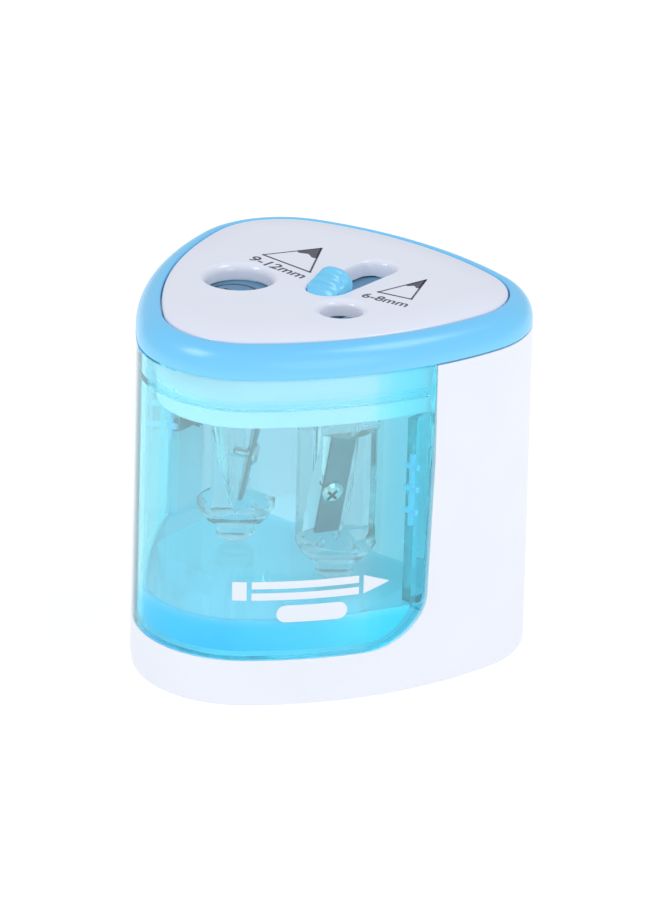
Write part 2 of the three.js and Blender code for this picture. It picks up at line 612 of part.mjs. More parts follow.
const RED_ROUTE = [[-31.6, 24, 10], [-31.6, 26, 20], [-31, 32, 32], [-34, 28, 42], [-38.6, 19.2, 43.5]];
const BLACK_ROUTE = [[31.6, 24, 10], [31.6, 28, 20], [21, 34, 25], [10, 31, 28], [MOTOR.x + 5, MOTOR.y + 4, 30.6]];

// ---- Assembly ----
const assembly = new THREE.Group();

function addPiece(name, shape, material) {
  const mesh = new THREE.Mesh(geometryOf(shape), material);
  mesh.name = name;
  assembly.add(mesh);
}

addPiece("housing_shell", housingShell(), WHITE);
addPiece("base_plate", basePlate(), WHITE);
addPiece("battery_door", batteryDoor(), WHITE);
addPiece("chassis", chassis(), WHITE);
addPiece("gear_tray", gearTray(), WHITE);
addPiece("gear_cover", gearCover(), WHITE);
addPiece("top_ring", topRing(), RING_BLUE);
addPiece("top_plate", topPlate(), PLATE_WHITE);
addPiece("shavings_bin", shavingsBin(), BIN_BLUE);
addPiece("selector_shutter", selectorShutter(), KNOB_BLUE);
addPiece("selector_knob", selectorKnob(), KNOB_BLUE);

FEET.forEach(([x, y], i) => addPiece(`foot_${i + 1}`, foot(x, y), RUBBER));
POSTS.flatMap(([x, y]) => [[x, y], [-x, y]])
  .forEach(([x, y], i) => addPiece(`base_screw_${i + 1}`, baseScrew(x, y), ZINC));
COVER_POSTS.forEach(([x, y], i) => addPiece(`cover_screw_${i + 1}`, coverScrew(x, y), ZINC));

for (const [name, place, phase] of [["large", LARGE, LARGE_PHASE], ["small", SMALL, SMALL_PHASE]]) {
  addPiece(`${name}_guide_tube`, guideTube(place), WHITE);
  addPiece(`${name}_bearing`, bearing(place), NYLON);
  addPiece(`${name}_gear`, cutterGear(place, phase), NYLON);
  addPiece(`${name}_carrier`, carrier(place), CLEAR);
  addPiece(`${name}_blade`, bladeBody(place), STEEL);
  addPiece(`${name}_blade_screw`, bladeScrew(place), ZINC);
}

addPiece("idler_gear", idlerGear(), NYLON);
addPiece("idler_axle", rod(IDLER.x, IDLER.y, 1.2, TRAY_Z + 0.1, COVER_Z[1], 12), STEEL);
addPiece("motor_can", motorCan(), ZINC);
addPiece("motor_end_cap", motorEndCap(), BLACK);
addPiece("motor_shaft", rod(MOTOR.x, MOTOR.y, 0.95, 41, 75.8, 12), STEEL);
addPiece("motor_pinion", motorPinion(), NYLON);
motorScrewPlaces().forEach(([x, y], i) => addPiece(`motor_screw_${i + 1}`, motorScrew(x, y), ZINC));

for (let i = 0; i < 4; i++) {
  addPiece(`battery_${i + 1}`, cell(i), CELL_SKIN);
  addPiece(`battery_spring_${i + 1}`, batterySpring(i), ZINC);
}
CONTACTS.forEach((contact, i) => addPiece(`contact_plate_${i + 1}`, contactPlate(contact), ZINC));

addPiece("interlock_switch", interlockSwitch(), BLACK);
addPiece("interlock_plunger", interlockPlunger(), RED);
addPiece("wire_red", wire(RED_ROUTE), RED);
addPiece("wire_black", wire(BLACK_ROUTE), BLACK);

export default assembly;
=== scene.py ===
import json
import math

import bmesh
import bpy
from mathutils import Matrix, Vector


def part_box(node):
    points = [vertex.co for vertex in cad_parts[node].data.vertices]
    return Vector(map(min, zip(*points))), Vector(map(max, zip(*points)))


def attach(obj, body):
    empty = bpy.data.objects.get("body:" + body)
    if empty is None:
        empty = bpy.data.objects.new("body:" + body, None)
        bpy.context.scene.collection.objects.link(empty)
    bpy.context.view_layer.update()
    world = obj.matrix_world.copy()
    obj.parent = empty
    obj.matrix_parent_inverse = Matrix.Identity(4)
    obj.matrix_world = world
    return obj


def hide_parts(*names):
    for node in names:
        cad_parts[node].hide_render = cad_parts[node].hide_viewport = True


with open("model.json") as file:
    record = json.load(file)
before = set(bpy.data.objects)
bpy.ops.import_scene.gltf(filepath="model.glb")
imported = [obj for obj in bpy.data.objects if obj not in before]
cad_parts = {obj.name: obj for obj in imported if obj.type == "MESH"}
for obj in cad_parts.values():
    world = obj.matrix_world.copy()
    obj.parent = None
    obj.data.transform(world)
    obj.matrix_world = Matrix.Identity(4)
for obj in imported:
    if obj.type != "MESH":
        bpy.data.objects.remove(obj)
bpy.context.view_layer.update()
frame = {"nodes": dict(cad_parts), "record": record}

MM = 0.001

# ---- Camera: a long lens, a little above the object and to its right ----
CAMERA_AZIMUTH = math.radians(38.77)
CAMERA_ELEVATION = math.radians(23.35)
CAMERA_ROLL = 0.027
CAMERA_PLACE = (0.50734, -0.62157, 0.39310)
CAMERA_LENS = 149.28


def make_camera():
    az, el, roll = CAMERA_AZIMUTH, CAMERA_ELEVATION, CAMERA_ROLL
    back = Vector((math.sin(az) * math.cos(el), -math.cos(az) * math.cos(el), math.sin(el)))
    right = Vector((math.cos(az), math.sin(az), 0))
    up = back.cross(right)
    turned_right = math.cos(roll) * right + math.sin(roll) * up
    turned_up = -math.sin(roll) * right + math.cos(roll) * up
    camera = bpy.data.objects.new("camera", bpy.data.cameras.new("camera"))
    bpy.context.scene.collection.objects.link(camera)
    axes = Matrix((turned_right, turned_up, back)).transposed().to_4x4()
    camera.matrix_world = Matrix.Translation(CAMERA_PLACE) @ axes
    camera.data.lens = CAMERA_LENS
    camera.data.sensor_width = 36
    camera.data.clip_start = 0.01
    bpy.context.scene.camera = camera


make_camera()

# ---- Places read from the frame, in millimetres ----


def node_box(name):
    low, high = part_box(name)
    return low / MM, high / MM


def node_centre(name):
    low, high = node_box(name)
    return (low + high) / 2


FOOT_Z = node_box("housing_shell")[0].z
BODY_TOP = node_box("housing_shell")[1].z
RING_LOW = node_box("top_ring")[0].z
RING_TOP = node_box("top_ring")[1].z
PLATE_LOW = node_box("top_plate")[0].z
PLATE_TOP = node_box("top_plate")[1].z
TRAY_LOW = node_box("gear_tray")[0].z
TRAY_TOP = node_box("gear_tray")[1].z
BIN_SILL = node_box("shavings_bin")[0].z
BIN_HALF = node_box("shavings_bin")[1].x
LARGE_PLACE = node_centre("large_gear")
SMALL_PLACE = node_centre("small_gear")
SHUTTER_TOP = node_box("selector_shutter")[1].z

# ---- The plan: a rounded triangle of three corner arcs and three flat arcs ----
CORNER_RADIUS = 25.06
SIDE_RADIUS = 92.3
FRONT_CENTRE = Vector((0, -20.76))
REAR_CENTRE = Vector((20.94, 17.41))
SEAM_Z = 80.4
DRAFT = 0.0255
WALL = 2.2
WINDOW_GAP = 0.35
WINDOW_CORNER = (6.5, 12.0)
WINDOW_BACK = -3.3
RING_INSET = 5.6


def side_centre(a, b):
    along = b - a
    outward = Vector((along.y, -along.x)).normalized()
    depth = math.sqrt((SIDE_RADIUS - CORNER_RADIUS) ** 2 - (along.length / 2) ** 2)
    return (a + b) / 2 - outward * depth


def half_plan():
    """The right half of the outline as arcs, from the front apex to the middle of the back."""
    left_rear = Vector((-REAR_CENTRE.x, REAR_CENTRE.y))
    side = side_centre(FRONT_CENTRE, REAR_CENTRE)
    rear = side_centre(REAR_CENTRE, left_rear)

    def direction(origin, target):
        return math.atan2(target.y - origin.y, target.x - origin.x)

    first, second = direction(side, FRONT_CENTRE), direction(side, REAR_CENTRE)
    third = direction(rear, REAR_CENTRE)
    return [
        (FRONT_CENTRE, CORNER_RADIUS, -math.pi / 2, first),
        (side, SIDE_RADIUS, first, second),
        (REAR_CENTRE, CORNER_RADIUS, second, third),
        (rear, SIDE_RADIUS, third, math.pi / 2),
    ]


ARCS = half_plan()
HALF_LENGTH = sum(radius * (end - start) for _, radius, start, end in ARCS)


def plan_point(s, inset=0.0, scale=1.0):
    """A point of the outline, s mm from the front apex towards the right, moved in by inset."""
    s = (s + HALF_LENGTH) % (2 * HALF_LENGTH) - HALF_LENGTH
    left = abs(s)
    for centre, radius, start, end in ARCS:
        length = radius * (end - start)
        if left <= length or radius * (math.pi / 2 - end) < 1e-9:
            angle = start + left / radius
            x = centre.x + (radius - inset) * math.cos(angle)
            y = centre.y + (radius - inset) * math.sin(angle)
            return Vector((math.copysign(x, s) if s else x, y)) * scale
        left -= length
    return None


def draft(z):
    """How much wider the walls are at height z than at the ring's seam."""
    return 1 + DRAFT * (SEAM_Z - z) / (SEAM_Z - FOOT_Z)


def wall_point(s, z, inset=0.0):
    """A point of the outer wall at height z, moved in by inset."""
    p = plan_point(s, inset, draft(z))
    return Vector((p.x, p.y, z))


def solve(reached, low, high):
    """The value between low and high where reached turns true, by halving."""
    for _ in range(40):
        middle = (low + high) / 2
        if reached(middle):
            high = middle
        else:
            low = middle
    return high


def window_span(z, half, back, sill):
    """How far from the apex, along the outline, the bin opening reaches at height z."""
    across, up = WINDOW_CORNER
    reach = half
    if z < sill + up:
        lift = min(1.0, (sill + up - z) / up)
        reach = half - across + across * math.sqrt(max(0.0, 1 - lift * lift))

    def outside(s):
        p = wall_point(s, z)
        return p.x >= reach or p.y >= back

    return solve(outside, 0.0, 90.0)


# ---- Mesh helpers, in millimetres ----


def new_piece(name, vertices, faces, material, smooth_angle=35.0):
    mesh = bpy.data.meshes.new(name)
    mesh.from_pydata([tuple(Vector(v) * MM) for v in vertices], [], faces)
    return finished(name, mesh, material, smooth_angle)


def finished(name, mesh, material, smooth_angle=35.0):
    bm = bmesh.new()
    bm.from_mesh(mesh)
    bmesh.ops.remove_doubles(bm, verts=bm.verts, dist=1e-7)
    bmesh.ops.dissolve_degenerate(bm, edges=bm.edges, dist=1e-7)
    bmesh.ops.recalc_face_normals(bm, faces=bm.faces)
    bm.to_mesh(mesh)
    bm.free()
    mesh.shade_smooth()
    mesh.set_sharp_from_angle(angle=math.radians(smooth_angle))
    piece = bpy.data.objects.new(name, mesh)
    bpy.context.scene.collection.objects.link(piece)
    mesh.materials.clear()
    mesh.materials.append(material)
    return piece


def grid_faces(rows, columns, start=0, closed=False):
    faces = []
    for r in range(rows - 1):
        for c in range(columns if closed else columns - 1):
            following = (c + 1) % columns
            a, b = start + r * columns + c, start + r * columns + following
            faces.append((a, b, b + columns, a + columns))
    return faces


def thickened(outer, inner, faces):
    """A closed wall between two matching sheets: both skins, and a strip along every open edge."""
    count = len(outer)
    uses = {}
    for face in faces:
        for a, b in zip(face, face[1:] + face[:1]):
            uses.setdefault((min(a, b), max(a, b)), []).append((a, b))
    skins = list(faces) + [tuple(count + v for v in reversed(face)) for face in faces]
    strips = [(b, a, count + a, count + b) for way in uses.values() if len(way) == 1 for a, b in way]
    return outer + inner, skins + strips


def lofted(rings):
    """A closed body through rings of points with the same count, with flat ends."""
    columns = len(rings[0])
    vertices = [p for ring in rings for p in ring]
    faces = grid_faces(len(rings), columns, closed=True)
    faces.append(tuple(reversed(range(columns))))
    faces.append(tuple(range(len(vertices) - columns, len(vertices))))
    return vertices, faces


def lathe(profile, centre, steps):
    """A closed body of revolution through [radius, z] pairs, about a vertical axis."""
    rings = []
    for radius, z in profile:
        ring = []
        for k in range(steps):
            angle = 2 * math.pi * k / steps
            ring.append((centre[0] + radius * math.cos(angle), centre[1] + radius * math.sin(angle), z))
        rings.append(ring)
    return lofted(rings)


def extruded(outline, z0, z1):
    return lofted([[(x, y, z0) for x, y in outline], [(x, y, z1) for x, y in outline]])


def box_mesh(low, high):
    outline = ((low[0], low[1]), (high[0], low[1]), (high[0], high[1]), (low[0], high[1]))
    return extruded(outline, low[2], high[2])


def swept(profile, samples, closed_path=True):
    """A closed profile of [inset, z] swept along the plan at the given distances from the apex."""
    rings = []
    for s in samples:
        rings.append([(*plan_point(s, inset), z) for inset, z in profile])
    if closed_path:
        columns = len(profile)
        vertices = [p for ring in rings for p in ring]
        faces = grid_faces(len(rings), columns, closed=True)
        last = (len(rings) - 1) * columns
        for c in range(columns):
            following = (c + 1) % columns
            faces.append((last + c, last + following, following, c))
        return vertices, faces
    return lofted(rings)


def around(count):
    """Distances from the apex, evenly spread over the whole outline."""
    return [2 * HALF_LENGTH * k / count - HALF_LENGTH for k in range(count)]


def raw_object(shape):
    vertices, faces = shape
    mesh = bpy.data.meshes.new("raw")
    mesh.from_pydata([tuple(Vector(v) * MM) for v in vertices], [], faces)
    bm = bmesh.new()
    bm.from_mesh(mesh)
    bmesh.ops.remove_doubles(bm, verts=bm.verts, dist=1e-8)
    bmesh.ops.recalc_face_normals(bm, faces=bm.faces)
    bm.to_mesh(mesh)
    bm.free()
    made = bpy.data.objects.new("raw", mesh)
    bpy.context.scene.collection.objects.link(made)
    return made


def combined(base, joined=(), removed=()):
    """One mesh: base joined with some bodies, then cut by others."""
    body = raw_object(base)
    tools = []
    for operation, shapes in (("UNION", joined), ("DIFFERENCE", removed)):
        for shape in shapes:
            tool = raw_object(shape)
            tools.append(tool)
            modifier = body.modifiers.new("step", "BOOLEAN")
            modifier.operation = operation
            modifier.solver = "MANIFOLD"
            modifier.object = tool
    depsgraph = bpy.context.evaluated_depsgraph_get()
    mesh = bpy.data.meshes.new_from_object(body.evaluated_get(depsgraph))
    for extra in [body, *tools]:
        bpy.data.objects.remove(extra)
    return mesh


def bevel(piece, width, segments, angle):
    modifier = piece.modifiers.new("edge", "BEVEL")
    modifier.width = width * MM
    modifier.segments = segments
    modifier.limit_method = "ANGLE"
    modifier.angle_limit = math.radians(angle)
    modifier.harden_normals = True


def weighted(piece):
    modifier = piece.modifiers.new("normals", "WEIGHTED_NORMAL")
    modifier.keep_sharp = True


def placed(piece, body, slot, *nodes):
    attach(piece, body)
    if nodes:
        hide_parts(*nodes)
    return piece


# ---- Materials ----


def material_base(name):
    material = bpy.data.materials.new(name)
    material.use_nodes = True
    tree = material.node_tree
    shader = tree.nodes["Principled BSDF"]
    return material, tree, shader


def noise(tree, scale, detail, stretch=(1, 1, 1)):
    coordinates = tree.nodes.new("ShaderNodeTexCoord")
    mapping = tree.nodes.new("ShaderNodeMapping")
    mapping.inputs["Scale"].default_value = stretch
    texture = tree.nodes.new("ShaderNodeTexNoise")
    texture.inputs["Scale"].default_value = scale
    texture.inputs["Detail"].default_value = detail
    tree.links.new(coordinates.outputs["Object"], mapping.inputs["Vector"])
    tree.links.new(mapping.outputs["Vector"], texture.inputs["Vector"])
    return texture.outputs["Fac"]


def ramp(tree, source, stops):
    node = tree.nodes.new("ShaderNodeValToRGB")
    tree.links.new(source, node.inputs["Fac"])
    elements = node.color_ramp.elements
    while len(elements) < len(stops):
        elements.new(0.5)
    for element, (position, colour) in zip(elements, stops):
        element.position = position
        element.color = (*colour, 1)
    return node.outputs["Color"]


def spread(tree, source, low, high):
    """A texture's 0 to 1 turned into low to high."""
    node = tree.nodes.new("ShaderNodeMapRange")
    node.inputs["To Min"].default_value = low
    node.inputs["To Max"].default_value = high
    tree.links.new(source, node.inputs["Value"])
    return node.outputs["Result"]


def object_axis(tree, axis):
    """One of the object's own coordinates, in metres."""
    coordinates = tree.nodes.new("ShaderNodeTexCoord")
    parts = tree.nodes.new("ShaderNodeSeparateXYZ")
    tree.links.new(coordinates.outputs["Object"], parts.inputs["Vector"])
    return parts.outputs[axis]


def distance_aside(tree):
    """The distance from the object's middle plane, left or right, in metres."""
    sides = tree.nodes.new("ShaderNodeMath")
    sides.operation = "ABSOLUTE"
    tree.links.new(object_axis(tree, "X"), sides.inputs[0])
    return sides.outputs[0]


def remapped(tree, source, low, high):
    """A share from 0 at low to 1 at high, both in millimetres."""
    node = tree.nodes.new("ShaderNodeMapRange")
    node.inputs["From Min"].default_value = low * MM
    node.inputs["From Max"].default_value = high * MM
    tree.links.new(source, node.inputs["Value"])
    return node.outputs["Result"]


def bump(tree, shader, source, strength, distance):
    node = tree.nodes.new("ShaderNodeBump")
    node.inputs["Strength"].default_value = strength
    node.inputs["Distance"].default_value = distance
    tree.links.new(source, node.inputs["Height"])
    tree.links.new(node.outputs["Normal"], shader.inputs["Normal"])


def shade(colour, factor):
    return tuple(min(1.0, c * factor) for c in colour)


def moulded(name, colour, roughness, grain=0.04, glow=0.0):
    """Injection-moulded plastic: faint cloudiness in the colour, a fine texture in the gloss.

    A little glow stands for the light that reaches pieces inside the clear bin.
    """
    material, tree, shader = material_base(name)
    clouds = noise(tree, 60.0, 4.0)
    stops = [(0.3, shade(colour, 0.985)), (0.7, shade(colour, 1.01))]
    tree.links.new(ramp(tree, clouds, stops), shader.inputs["Base Color"])
    fine = noise(tree, 1800.0, 2.0)
    tree.links.new(spread(tree, fine, roughness * 0.85, roughness * 1.2), shader.inputs["Roughness"])
    bump(tree, shader, fine, grain, 0.00003)
    shader.inputs["Emission Color"].default_value = (0.72, 0.95, 1.0, 1)
    shader.inputs["Emission Strength"].default_value = glow
    return material


def painted_shade_by_height(name, low, high, z0, z1, roughness):
    """Moulded plastic whose colour drifts with height: painted light and shade, for how the light falls on
    its lower and upper parts.
    """
    material, tree, shader = material_base(name)
    height = remapped(tree, object_axis(tree, "Z"), z0, z1)
    tree.links.new(ramp(tree, height, [(0.0, low), (1.0, high)]), shader.inputs["Base Color"])
    fine = noise(tree, 1500.0, 2.0)
    tree.links.new(spread(tree, fine, roughness * 0.85, roughness * 1.2), shader.inputs["Roughness"])
    bump(tree, shader, fine, 0.03, 0.00003)
    return material


def bin_painted_light_tint(tree):
    """Painted light: the bin's bottom rim and its two upright edges are tinted deeper, standing for the
    light that gathers in them.
    """
    height = remapped(tree, object_axis(tree, "Z"), BIN_SILL, 30.0)
    low = ramp(tree, height,
               [(0.0, (0.34, 0.90, 1.0)), (0.44, (0.44, 0.92, 1.0)), (0.58, (0.96, 1.0, 1.0))])
    edge = ramp(tree, remapped(tree, distance_aside(tree), 34.0, 42.0),
                [(0.06, (1.0, 1.0, 1.0)), (0.16, (0.66, 0.97, 1.0)), (0.68, (0.50, 0.95, 1.0))])
    both = tree.nodes.new("ShaderNodeMix")
    both.data_type = "RGBA"
    both.blend_type = "MULTIPLY"
    both.inputs["Factor"].default_value = 1.0
    tree.links.new(low, both.inputs["A"])
    tree.links.new(edge, both.inputs["B"])
    return both.outputs["Result"]


def clear(name, tint, absorbed, density, roughness, ior, haze, streak=0.02, gathered=None):
    """Clear plastic with a little haze, tinted by its thickness. Shadow rays pass it, tinted.

    The refraction is weaker than real plastic's, so that edges don't trap light and turn black.
    """
    material, tree, shader = material_base(name)
    shader.inputs["Base Color"].default_value = (1, 1, 1, 1)
    shader.inputs["Transmission Weight"].default_value = 1.0 - haze
    shader.inputs["IOR"].default_value = ior
    # painted light: when given, a colour that deepens where light gathers in the moulding
    if gathered:
        tree.links.new(gathered(tree), shader.inputs["Base Color"])
    waves = noise(tree, 90.0, 2.0, (1, 1, 0.3))
    tree.links.new(spread(tree, waves, roughness * 0.5, roughness * 1.5), shader.inputs["Roughness"])
    bump(tree, shader, waves, streak, 0.0004)
    through = tree.nodes.new("ShaderNodeBsdfTransparent")
    through.inputs["Color"].default_value = (*tint, 1)
    path = tree.nodes.new("ShaderNodeLightPath")
    mix = tree.nodes.new("ShaderNodeMixShader")
    output = tree.nodes["Material Output"]
    tree.links.new(path.outputs["Is Shadow Ray"], mix.inputs["Fac"])
    tree.links.new(shader.outputs["BSDF"], mix.inputs[1])
    tree.links.new(through.outputs["BSDF"], mix.inputs[2])
    tree.links.new(mix.outputs["Shader"], output.inputs["Surface"])
    volume = tree.nodes.new("ShaderNodeVolumeAbsorption")
    volume.inputs["Color"].default_value = (*absorbed, 1)
    volume.inputs["Density"].default_value = density
    tree.links.new(volume.outputs["Volume"], output.inputs["Volume"])
    return material


def metal(name, colour, roughness, scale, stretch=(1, 1, 1)):
    """Ground or plated metal with a fine directional scratch."""
    material, tree, shader = material_base(name)
    shader.inputs["Metallic"].default_value = 1.0
    scratches = noise(tree, scale, 5.0, stretch)
    stops = [(0.3, shade(colour, 0.88)), (0.7, shade(colour, 1.08))]
    tree.links.new(ramp(tree, scratches, stops), shader.inputs["Base Color"])
    tree.links.new(spread(tree, scratches, roughness * 0.7, roughness * 1.3), shader.inputs["Roughness"])
    bump(tree, shader, scratches, 0.08, 0.00002)
    return material


def set_shader(material, socket, value):
    material.node_tree.nodes["Principled BSDF"].inputs[socket].default_value = value


def rim_plastic(name, deep, pale):
    """Opaque plastic that is deep blue at the front and paler towards the two sides."""
    material, tree, shader = material_base(name)
    share = remapped(tree, distance_aside(tree), 12.0, 34.0)
    tree.links.new(ramp(tree, share, [(0.0, deep), (1.0, pale)]), shader.inputs["Base Color"])
    shader.inputs["Roughness"].default_value = 0.3
    return material


WHITE = moulded("white_plastic", (0.835, 0.865, 0.945), 0.32)
# Copies of the white plastic for pieces inside and behind the bin, with a darker, bluer colour and a
# painted glow: painted light and shade for how light reaches them through the clear bin.
INNER_WHITE = moulded("inner_white_plastic", (0.70, 0.80, 0.88), 0.5, glow=0.17)
SKIRT_WHITE = moulded("skirt_plastic", (0.76, 0.81, 0.90), 0.5, glow=0.16)
PLATE_WHITE = moulded("plate_plastic", (0.745, 0.775, 0.89), 0.07, 0.002)
# The ring's colour is painted shade: paler low down, darker towards the plate, where the upper part is lit
# less.
RING_BLUE = painted_shade_by_height("ring_plastic", (0.20, 0.66, 1.0), (0.155, 0.55, 0.90),
                      RING_LOW, RING_TOP, 0.24)
KNOB_BLUE = moulded("knob_plastic", (0.17, 0.60, 0.90), 0.2, 0.006)
SHUTTER_BLUE = moulded("shutter_plastic", (0.12, 0.26, 0.41), 0.4)
set_shader(SHUTTER_BLUE, "Specular IOR Level", 0.15)
BIN_BLUE = clear("bin_plastic", (0.86, 0.985, 1.0), (0.0, 0.90, 1.0), 140.0, 0.02, 1.15,
                 haze=0.10, gathered=bin_painted_light_tint)
set_shader(BIN_BLUE, "Coat Weight", 0.6)
set_shader(BIN_BLUE, "Coat Roughness", 0.04)
# The ribs carry a painted glow, standing for light caught in the clear plastic.
RIB_BLUE = moulded("bin_rib_plastic", (0.20, 0.66, 0.95), 0.3, glow=0.12)
# The lower rim's opaque band is painted light; its colour runs from deep blue at the front to paler at the
# sides.
RIM_BLUE = rim_plastic("bin_rim_plastic", (0.02, 0.70, 1.0), (0.62, 0.97, 1.0))
CLEAR = clear("carrier_plastic", (0.95, 0.99, 1.0), (0.2, 0.8, 1.0), 16.0, 0.10, 1.24, 0.06, 0.03)
NYLON = moulded("nylon", (0.84, 0.82, 0.74), 0.45, 0.08)
BLADE = metal("ground_steel", (0.22, 0.28, 0.31), 0.34, 1400.0, (1, 1, 0.06))
ZINC = metal("zinc_plate", (0.74, 0.76, 0.76), 0.24, 500.0)
RUBBER = moulded("rubber", (0.33, 0.35, 0.38), 0.75, 0.2)
CELL = moulded("cell_sleeve", (0.05, 0.16, 0.11), 0.3)
BLACK = moulded("black_plastic", (0.02, 0.02, 0.024), 0.4)
RED = moulded("red_plastic", (0.45, 0.02, 0.02), 0.4)
INK = moulded("dark_ink", (0.075, 0.075, 0.11), 0.5)
WHITE_INK = moulded("white_ink", (0.80, 0.86, 0.94), 0.5)

SLOT_MATERIALS = {
    "white_plastic": WHITE, "plate_plastic": PLATE_WHITE, "ring_blue": RING_BLUE, "bin_blue": BIN_BLUE,
    "selector_blue": SHUTTER_BLUE, "clear_plastic": CLEAR, "nylon": NYLON, "blade_steel": BLADE,
    "zinc": ZINC, "rubber": RUBBER, "cell_skin": CELL, "black_plastic": BLACK, "red_plastic": RED,
}


def finish_cad_nodes():
    """Give every CAD node its slot's material, and smooth its round faces."""
    for entry in frame["record"]["subparts"]:
        node = frame["nodes"][entry["node"]]
        node.data.materials.clear()
        node.data.materials.append(SLOT_MATERIALS[entry["material_slot"]])
        node.data.shade_smooth()
        node.data.set_sharp_from_angle(angle=math.radians(32))


finish_cad_nodes()
# The pieces inside take the copy of the white plastic with the painted glow.
for inner_name in ("chassis", "gear_cover", "base_plate"):
    frame["nodes"][inner_name].data.materials[0] = INNER_WHITE
bevel(frame["nodes"]["chassis"], 0.5, 3, 50)
for blade_name in ("large_blade", "small_blade"):
    bevel(frame["nodes"][blade_name], 0.12, 1, 50)

# ---- Housing shell ----
HOUSING_COLUMNS = 200
RIM_COLUMNS = 60
CORNER_ROWS = 12
EDGE_ROUND = 0.45


def window_rows(sill, top, count):
    """Heights up the opening's side: close together round its lower corner, then even."""
    up = WINDOW_CORNER[1]
    corner = [sill + up * (1 - math.cos(math.pi / 2 * k / CORNER_ROWS)) for k in range(CORNER_ROWS)]
    # at the sill the outline runs almost level, so the steps there are the short ones
    return corner + [sill + up + (top - sill - up) * k / count for k in range(count + 1)]


def housing_shell():
    """The body: a wall round the back and sides, and a low rim under the bin's opening."""
    half, sill = BIN_HALF + WINDOW_GAP, BIN_SILL - WINDOW_GAP
    low_rows = [FOOT_Z, 1.6, 3.0, 5.0, 7.0, 9.0, 10.8]
    high_rows = window_rows(sill, BODY_TOP, 28)
    corner_s = window_span(sill, half, WINDOW_BACK, sill)
    grids = {0.0: [], WALL: []}
    for inset, points in grids.items():
        for z in low_rows + high_rows:
            start = corner_s if z <= sill else window_span(z, half, WINDOW_BACK, sill)
            for k in range(HOUSING_COLUMNS + 1):
                s = start + (2 * HALF_LENGTH - 2 * start) * k / HOUSING_COLUMNS
                points.append(wall_point(s, z, inset))
        for z in low_rows + [sill]:
            for k in range(RIM_COLUMNS + 1):
                points.append(wall_point(-corner_s + 2 * corner_s * k / RIM_COLUMNS, z, inset))
    back_count = (len(low_rows) + len(high_rows)) * (HOUSING_COLUMNS + 1)
    faces = grid_faces(len(low_rows) + len(high_rows), HOUSING_COLUMNS + 1)
    faces += grid_faces(len(low_rows) + 1, RIM_COLUMNS + 1, back_count)
    merged = {}
    index = []
    for i, p in enumerate(grids[0.0]):
        key = (round(p.x, 4), round(p.y, 4), round(p.z, 4))
        index.append(merged.setdefault(key, i))
    faces = [tuple(index[v] for v in face) for face in faces]
    vertices, faces = thickened(grids[0.0], grids[WALL], faces)
    piece = new_piece("body_shell", vertices, faces, WHITE)
    # The shell's inner faces take the copy of the white plastic with the painted glow.
    piece.data.materials.append(INNER_WHITE)
    for polygon in piece.data.polygons:
        outward = Vector((polygon.center.x, polygon.center.y, 0))
        if polygon.normal.dot(outward) < 0:
            polygon.material_index = 1
    bevel(piece, EDGE_ROUND, 3, 50)
    return placed(piece, "sharpener", "white_plastic", "housing_shell")


housing_shell()

# ---- Shavings bin ----
FLOOR_TOP = 21.1
FLOOR_LOW = 19.9
BIN_BACK_EDGE = WINDOW_BACK - WINDOW_GAP
BIN_SIDE = (34.8, 36.2)
FLANGE_Y = (-5.6, -3.8)
FLANGE_X = 40.3
SIDE_TOP = TRAY_LOW - 0.6
SIDE_BACK = 3.8
FLOOR_BACK = 10.8
LEDGE_Z = (72.3, 73.9)
LADDER_Z = (44.4, 49.9, 55.4)
LADDER_BAR = 1.2
LADDER_END = 38.6
STILE_X = (36.4, 37.3)
RIM_DEPTH = 0.9


def mirrored(low, high):
    """A box on the right, and its mirror image on the left."""
    return [box_mesh(low, high), box_mesh((-high[0], low[1], low[2]), (-low[0], high[1], high[2]))]


def bin_wall():
    """The bin's curved front, cut to the opening's outline."""
    columns = 150
    rows = window_rows(BIN_SILL, BODY_TOP, 30)
    outer, inner = [], []
    for z in rows:
        span = window_span(z, BIN_HALF, BIN_BACK_EDGE, BIN_SILL)
        for k in range(columns + 1):
            s = -span + 2 * span * k / columns
            outer.append(wall_point(s, z))
            inner.append(wall_point(s, z, WALL))
    return thickened(outer, inner, grid_faces(len(rows), columns + 1))


def floor_outline():
    """The bin's floor: it follows the lower rim in front, and steps in twice behind."""
    scale = draft(FLOOR_LOW)
    inset = WALL + RIM_DEPTH + 0.1
    span = solve(lambda s: plan_point(s, inset, scale).y >= BIN_BACK_EDGE - 0.2, 0.0, 90.0)
    front = [tuple(plan_point(-span + 2 * span * k / 80, inset, scale)) for k in range(81)]
    step = BIN_SIDE[1]
    inner = BIN_SIDE[0] - 0.8
    back = [(step, front[-1][1]), (step, SIDE_BACK), (inner, SIDE_BACK), (inner, FLOOR_BACK)]
    return front + back + [(-x, y) for x, y in reversed(back)]


def ledge():
    span = window_span(LEDGE_Z[0], BIN_HALF, BIN_BACK_EDGE, BIN_SILL) - 0.3
    profile = [(4.0, LEDGE_Z[0]), (1.6, LEDGE_Z[0]), (1.6, LEDGE_Z[1]), (4.0, LEDGE_Z[1])]
    return swept(profile, [-span + 2 * span * k / 110 for k in range(111)], closed_path=False)


def shavings_bin():
    """Curved front, floor, ledge, and a flange and a side wall at each end, as one clear body."""
    parts = [extruded(floor_outline(), FLOOR_LOW, FLOOR_TOP), ledge()]
    parts += mirrored((BIN_SIDE[0], FLANGE_Y[0], FLOOR_LOW + 0.1), (FLANGE_X, FLANGE_Y[1], SIDE_TOP))
    parts += mirrored((BIN_SIDE[0] + 0.01, FLANGE_Y[0] + 0.01, FLOOR_LOW + 0.05),
                      (BIN_SIDE[1], SIDE_BACK - 0.01, SIDE_TOP - 0.01))
    mesh = combined(bin_wall(), parts)
    piece = finished("clear_bin", mesh, BIN_BLUE, 30)
    return placed(piece, "bin", "bin_blue", "shavings_bin")


shavings_bin()


